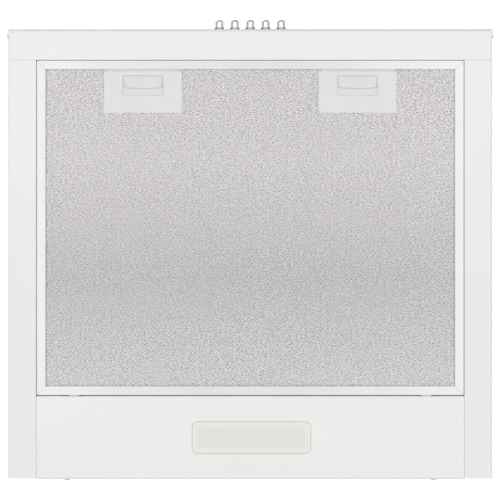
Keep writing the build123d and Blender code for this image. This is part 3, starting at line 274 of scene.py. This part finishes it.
def rubber(name):
    """Black rubber with a dull, slightly grainy skin."""
    compound = Shader(name)
    compound.color(compound.ramp(compound.noise(6 * MM, detail=5), linear(28, 28, 29), linear(46, 46, 47)))
    compound.rough(compound.ramp(compound.noise(3 * MM), 0.6, 0.8))
    compound.bump(compound.noise(0.8 * MM), 0.05 * MM)
    return compound.material


def satin_chrome(name):
    """Satin chrome over the buttons' plastic, darker where it is seen at a low angle."""
    chrome = Shader(name, Metallic=1.0)
    chrome.surface.inputs["Specular Tint"].default_value = linear(172, 172, 174)
    chrome.color(chrome.ramp(chrome.noise(3 * MM, detail=4), linear(212, 211, 212), linear(222, 221, 222)))
    chrome.rough(chrome.ramp(chrome.noise(1.5 * MM), 0.24, 0.3))
    chrome.bump(chrome.noise(0.6 * MM), 0.002 * MM)
    return chrome.material


def dark_chrome(name):
    """Black-nickel plating on the button collars."""
    nickel = Shader(name, Metallic=1.0)
    nickel.surface.inputs["Specular Tint"].default_value = linear(140, 140, 142)
    nickel.color(nickel.ramp(nickel.noise(2 * MM, detail=4), linear(146, 145, 145), linear(164, 163, 163)))
    nickel.rough(nickel.ramp(nickel.noise(1.5 * MM), 0.16, 0.24))
    nickel.bump(nickel.noise(0.5 * MM), 0.002 * MM)
    return nickel.material


def opal_lens(name):
    """Opal polycarbonate: a smooth rim round a frosted window that looks slightly yellower."""
    low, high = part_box("lamp_lens")
    lens = Shader(name, IOR=1.58, Coat_Weight=0.2, Coat_Roughness=0.12)
    in_rim = []
    for axis in (X, Y):
        middle = (low[axis] + high[axis]) / 2
        window = (high[axis] - low[axis]) / 2 - LENS_FLANGE - LENS_RIM
        in_rim.append(lens.math("GREATER_THAN", lens.distance(axis, middle), window))
    rim = lens.math("MAXIMUM", *in_rim)
    frosted = lens.ramp(lens.noise(20 * MM, detail=4), linear(224, 223, 218), linear(227, 226, 221))
    lens.color(lens.mix(rim, frosted, linear(233, 232, 228)))
    lens.rough(lens.ramp(rim, 0.5, 0.22, 0.0, 1.0))
    lens.bump(lens.noise(0.9 * MM), 0.02 * MM)
    return lens.material


def along_filter(mesh, color):
    """Painted shade: the filter's mesh is greyer in the middle than towards its front and rear bars."""
    fade = mesh.ramp(mesh.distance(Y, MESH_SHADE_Y), MESH_SHADE_GREY, WHITE, *MESH_SHADE_FADE)
    return mesh.tinted(color, fade)


def bare_aluminium(name):
    """Bright rolled foil, clouded by the rolling oil."""
    foil = Shader(name, Metallic=0.35)
    clouds = foil.ramp(foil.noise(3 * MM, detail=4), linear(246, 244, 243), linear(253, 251, 250))
    foil.color(along_filter(foil, clouds))
    foil.rough(foil.ramp(foil.noise(10 * MM), 0.3, 0.45))
    foil.bump(foil.noise(1.2 * MM), 0.06 * MM)
    return foil.material


def layered_mesh(name):
    """Inner layers of the mesh pack: crossing strands over gaps painted dark as shade, seen through the
    layer in front.
    """
    mesh = Shader(name, Metallic=0.5)
    strands = mesh.noise(1.1 * MM, detail=2, stretch=(0.45, 1, 1))
    # painted shade: the dark between the strands stands for the shadowed gaps behind them
    strands_over_painted_shade = mesh.ramp(strands, linear(146, 143, 143), linear(240, 237, 237), 0.38, 0.62)
    mesh.color(along_filter(mesh, strands_over_painted_shade))
    mesh.rough(mesh.ramp(mesh.noise(4 * MM), 0.35, 0.5))
    mesh.bump(strands, 0.3 * MM)
    return mesh.material


def circuit_board(name):
    """White solder mask with faint copper tracks under it."""
    board = Shader(name)
    tracks = board.noise(6 * MM, detail=1, stretch=(0.2, 1, 1))
    board.color(board.ramp(tracks, linear(228, 228, 222), linear(244, 244, 240), 0.48, 0.52))
    board.rough(board.ramp(board.noise(4 * MM), 0.3, 0.4))
    board.bump(tracks, 0.03 * MM)
    return board.material


# ---------------------------------------------------------------- which piece gets which material
LINES_ALONG_Y = (1, 0.2, 1)
LINES_ALONG_Z = (1, 1, 0.2)
FINE_LINES_ALONG_Z = (1, 1, 0.1)


def finish_nodes():
    """Gives each piece of the CAD listed below its material."""
    latch_plastic = moulded("latch_plastic", linear(222, 221, 219), linear(226, 225, 223), 0.42)
    slider_plastic = moulded("slider_plastic", linear(219, 218, 216), linear(224, 223, 221), 0.4)
    white_plastic = moulded("white_plastic", linear(224, 224, 222), linear(234, 234, 232), 0.4)
    grey_plastic = moulded("grey_plastic", linear(176, 178, 180), linear(188, 190, 192), 0.45)
    black_plastic = moulded("black_plastic", linear(30, 30, 31), linear(42, 42, 43), 0.4)
    duct_plastic = moulded("duct_plastic", linear(58, 58, 60), linear(70, 70, 72), 0.45)
    flap_plastic = moulded("flap_plastic", linear(84, 84, 86), linear(98, 98, 100), 0.45)
    ivory_plastic = moulded("ivory_plastic", linear(222, 218, 204), linear(232, 228, 216), 0.35)
    wire_sleeve = moulded("wire_sleeve", linear(96, 96, 98), linear(116, 116, 118), 0.5)
    phosphor = moulded("phosphor", linear(226, 200, 92), linear(240, 218, 120), 0.35)
    brass = drawn_metal("brass", linear(196, 160, 92), linear(222, 190, 120), 0.3, LINES_ALONG_Y)
    plated = drawn_metal("zinc_plated", linear(176, 176, 174), linear(214, 214, 212), 0.3, LINES_ALONG_Z)
    can = drawn_metal("motor_can", linear(120, 120, 123), linear(150, 150, 153), 0.34, FINE_LINES_ALONG_Z)
    finishes = {
        powder_coat("white_powder_coat"): "body_shell rear_wall front_fascia lamp_panel",
        # the side panels get painted shade beside the duct
        powder_coat("side_powder_coat", linear(250, 250, 250)): "side_panel_left side_panel_right",
        frame_lacquer("frame_lacquer"): (
            "filter_frame_front filter_frame_rear filter_frame_left filter_frame_right"
        ),
        layered_mesh("inner_mesh"): "filter_mesh_core filter_mesh_upper",
        latch_plastic: "latch_bezel_left latch_bezel_right latch_backplates",
        slider_plastic: "latch_slider_left latch_slider_right",
        satin_chrome("satin_chrome"): "button_off button_speed_1 button_speed_2 button_speed_3 button_light",
        dark_chrome("dark_chrome"): "button_collars",
        black_plastic: "switch_housing cable_gland",
        brass: "switch_terminals fan_nut",
        opal_lens("opal_lens"): "lamp_lens",
        white_plastic: "lamp_tray lamp_driver motor_capacitor",
        circuit_board("led_board"): "lamp_board",
        phosphor: "lamp_leds",
        zinc_sheet("galvanised_sheet"): "blower_casing blower_cover motor_plate capacitor_clip",
        plated: "rear_screws filter_rear_tabs weld_studs blower_screws motor_shaft",
        can: "motor",
        grey_plastic: "impeller inlet_grille terminal_box terminal_box_lid",
        duct_plastic: "duct_collar collar_flange",
        flap_plastic: "flap_rear flap_front",
        rubber("black_rubber"): "blower_mounts collar_gasket",
        ivory_plastic: "terminal_block",
        wire_sleeve: "switch_harness motor_harness lamp_harness",
    }
    for material, names in finishes.items():
        for name in names.split():
            for part_slot in NODES[name].material_slots:
                part_slot.material = material


# ---------------------------------------------------------------- grease filter mesh
LONG_WAY = 4.53 * MM  # pitch of the expanded mesh along X
SHORT_WAY = 2.23 * MM  # and along Y
STRAND = 0.7 * MM  # metal between two openings that follow each other along Y
KNUCKLE = 0.9 * MM  # and along X, where two strands meet
TILT = 0.28 * MM  # how far the rear corner of an opening stands up, and its front corner down
SHEET_RISE = 0.45 * MM  # from the lower face of the CAD sheet up to the strands' middle
PLATE_COVER = 1.2 * MM  # how far the sheet reaches in under the edges of the latch plates
UNDER_FRAME = 7.7 * MM  # from the CAD sheet's edge to the frame's inner edge, less a small overlap


def mesh_piece(name, vertices, faces, material):
    """A new object with the given mesh and material."""
    data = bpy.data.meshes.new(name)
    data.from_pydata(vertices, [], faces)
    data.validate()
    data.materials.append(material)
    piece = bpy.data.objects.new(name, data)
    bpy.context.collection.objects.link(piece)
    return piece


def shrunk(box, margin):
    """The X and Y limits of a box, moved in by the margin."""
    low, high = box
    return (low[X] + margin, low[Y] + margin), (high[X] - margin, high[Y] - margin)


def expanded_sheet(name, columns, foil):
    """Expanded aluminium with a diamond opening at every second place of the given half-pitch columns."""
    low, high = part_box("filter_mesh_lower")
    front, rear = low[Y] + UNDER_FRAME, high[Y] - UNDER_FRAME
    z = low[Z] + SHEET_RISE
    plates = [shrunk(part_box(f"latch_bezel_{side}"), PLATE_COVER) for side in ("left", "right")]
    half_x, half_y = LONG_WAY / 2, SHORT_WAY / 2
    hole_x, hole_y = half_x - KNUCKLE / 2, half_y - STRAND / 2
    vertices, faces, corner_index = [], [], {}

    def corner(i, j):
        """Number of the vertex in the middle of the knuckle at column i and row j."""
        if (i, j) not in corner_index:
            corner_index[i, j] = len(vertices)
            vertices.append((i * half_x, front + j * half_y, z))
        return corner_index[i, j]

    for j in range(1, int((rear - front) / half_y)):
        for i in columns:
            x, y = i * half_x, front + j * half_y
            covered = any(a[X] < x < b[X] and a[Y] < y < b[Y] for a, b in plates)
            if (i + j) % 2 or covered:
                continue
            outer = [corner(i + 1, j), corner(i, j + 1), corner(i - 1, j), corner(i, j - 1)]
            start = len(vertices)
            vertices += [
                (x + hole_x, y, z),
                (x, y + hole_y, z + TILT),
                (x - hole_x, y, z),
                (x, y - hole_y, z - TILT),
            ]
            for k in range(4):
                m = (k + 1) % 4
                faces.append((outer[k], outer[m], start + m, start + k))
    return mesh_piece(name, vertices, faces, foil)


def filter_outer_layer():
    """The filter's outer sheet in two halves, in place of the CAD's plain one."""
    low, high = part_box("filter_mesh_lower")
    foil = bare_aluminium("expanded_aluminium")
    first = round((low[X] + UNDER_FRAME) / (LONG_WAY / 2))
    last = round((high[X] - UNDER_FRAME) / (LONG_WAY / 2))
    halves = {"expanded_mesh_left": range(first + 1, 1), "expanded_mesh_right": range(1, last)}
    for name, columns in halves.items():
        sheet = expanded_sheet(name, columns, foil)
        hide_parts("filter_mesh_lower")
        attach(sheet, "filter")


# ---------------------------------------------------------------- latch springs
SPRING_TURNS = 8
WIRE_RADIUS = 0.25 * MM
TURN_STEPS = 20  # rings of vertices in a turn
WIRE_SIDES = 8


def latch_spring(side, steel):
    """Coil spring of wire that fills the box of the CAD's spring, in place of that plain piece."""
    low, high = (Vector(corner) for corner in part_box(f"latch_spring_{side}"))
    middle = (low + high) / 2
    coil_radius = (high.x - low.x) / 2 - WIRE_RADIUS
    first, length = low.y + WIRE_RADIUS, high.y - low.y - 2 * WIRE_RADIUS
    rings = SPRING_TURNS * TURN_STEPS
    vertices, faces = [], []
    for i in range(rings + 1):
        turn = 2 * math.pi * i / TURN_STEPS
        outward = Vector((math.cos(turn), 0, math.sin(turn)))
        centre = Vector((middle.x, first + length * i / rings, middle.z)) + coil_radius * outward
        for k in range(WIRE_SIDES):
            angle = 2 * math.pi * k / WIRE_SIDES
            offset = math.cos(angle) * outward + math.sin(angle) * Vector((0, 1, 0))
            vertices.append(centre + WIRE_RADIUS * offset)
    for i in range(rings):
        for k in range(WIRE_SIDES):
            m = (k + 1) % WIRE_SIDES
            here, ahead = i * WIRE_SIDES, (i + 1) * WIRE_SIDES
            faces.append((here + k, here + m, ahead + m, ahead + k))
    faces.append(tuple(range(WIRE_SIDES)))
    faces.append(tuple(rings * WIRE_SIDES + k for k in reversed(range(WIRE_SIDES))))
    spring = mesh_piece(f"coil_spring_{side}", vertices, faces, steel)
    spring.data.shade_smooth()
    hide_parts(f"latch_spring_{side}")
    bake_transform(spring)


# ---------------------------------------------------------------- studio
UNDERSIDE = cad_box[0][Z]
CAMERA_DISTANCE = 2.2  # from the underside
CAMERA_REACH = 20  # nothing further away is drawn
VIEW_WIDTH = 0.51345  # width of the picture at the underside
SENSOR = 36.0  # width, in millimetres
AIM = (-0.00026, -0.08465)  # the point of the underside in the middle of the picture

# brightness of the room from straight down (0) over the horizon (0.5) to straight up (1)
ROOM_LIGHT = [(0.0, 0.9), (0.3, 0.56), (0.5, 0.54), (0.75, 0.85), (0.95, 1.0)]
FRONT_SHADE = (0.5, 1.04)  # strength of the room's light from straight in front, and from most of the room
FRONT_SHADE_Y = (-1.0, -0.2)  # the Y of the directions between which the strength changes

FLOOR_DROP = 3.0  # below the camera, so that other cameras under the hood stay above the floor
FLOOR_REACH = 16.0
FLOOR_FADE = (4.6, 10.0)  # distances from the hood between which the pale floor turns grey

LIGHT_SIZE = 1.6
LIT_POINT = (0, -0.08, UNDERSIDE)
LOWER_LIGHTS = {"soft_from_lower_left": -0.95, "soft_from_lower_right": 0.95}  # with their X
LOWER_LIGHTS_Y = -0.25
LOWER_LIGHTS_DROP = 1.6  # below the underside
LOWER_LIGHTS_POWER = 10  # watts each
UPPER_LIGHT_PLACE = (-1.0, -1.6, 1.6)
UPPER_LIGHT_POWER = 14  # watts


def camera():
    """Camera straight below the hood, looking up, with the fascia at the top of the picture."""
    data = bpy.data.cameras.new("camera")
    data.sensor_width = SENSOR
    data.lens = SENSOR * CAMERA_DISTANCE / VIEW_WIDTH
    data.clip_end = CAMERA_REACH
    viewer = bpy.data.objects.new("camera", data)
    viewer.location = (*AIM, UNDERSIDE - CAMERA_DISTANCE)
    viewer.rotation_euler = (math.pi, 0, 0)
    bpy.context.collection.objects.link(viewer)
    bpy.context.scene.camera = viewer


def room():
    """White light from all round, dimmer at the horizon and from the front."""
    world = bpy.data.worlds.new("studio")
    world.use_nodes = True
    nodes = Nodes(world.node_tree)
    direction = nodes.axes(nodes.add("ShaderNodeTexCoord").outputs["Generated"])
    height = nodes.ramp(direction[Z], 0.0, 1.0, -1.0, 1.0)
    greys = [(place, (level, level, level, 1)) for place, level in ROOM_LIGHT]
    background = nodes.tree.nodes["Background"]
    nodes.feed(background.inputs["Color"], nodes.color_stops(height, greys))
    nodes.feed(background.inputs["Strength"], nodes.ramp(direction[Y], *FRONT_SHADE, *FRONT_SHADE_Y))
    bpy.context.scene.world = world
    bpy.context.scene.view_settings.view_transform = "Standard"


def studio_floor():
    """Pale floor far below the camera, grey further out."""
    paper = Shader("floor_paper", Roughness=0.8)
    away = paper.add("ShaderNodeVectorMath", operation="LENGTH")
    paper.feed(away.inputs[0], paper.position)
    fade = paper.ramp(away.outputs["Value"], 0.0, 1.0, *FLOOR_FADE)
    paper.color(paper.ramp(fade, linear(245, 245, 245), linear(190, 190, 190), 0.0, 1.0))
    level = UNDERSIDE - CAMERA_DISTANCE - FLOOR_DROP
    signs = ((-1, -1), (1, -1), (1, 1), (-1, 1))
    corners = [(x * FLOOR_REACH, y * FLOOR_REACH, level) for x, y in signs]
    floor = mesh_piece("floor", corners, [(0, 1, 2, 3)], paper.material)


def area_light(name, power, place):
    """A soft square light that aims at the hood's underside."""
    data = bpy.data.lights.new(name, "AREA")
    data.shape = "SQUARE"
    data.size = LIGHT_SIZE
    data.energy = power
    lamp = bpy.data.objects.new(name, data)
    lamp.location = place
    lamp.rotation_euler = (Vector(LIT_POINT) - Vector(place)).to_track_quat("-Z", "Y").to_euler()
    bpy.context.collection.objects.link(lamp)


def soft_lights():
    """Two lights from below and one from above, in front of the hood's left end."""
    for name, x in LOWER_LIGHTS.items():
        area_light(name, LOWER_LIGHTS_POWER, (x, LOWER_LIGHTS_Y, UNDERSIDE - LOWER_LIGHTS_DROP))
    area_light("soft_from_above", UPPER_LIGHT_POWER, UPPER_LIGHT_PLACE)


# ---------------------------------------------------------------- main
camera()
room()
studio_floor()
soft_lights()
finish_nodes()
filter_outer_layer()
wire = drawn_metal("spring_wire", linear(140, 140, 142), linear(180, 180, 182), 0.3, LINES_ALONG_Y)
latch_spring("left", wire)
latch_spring("right", wire)
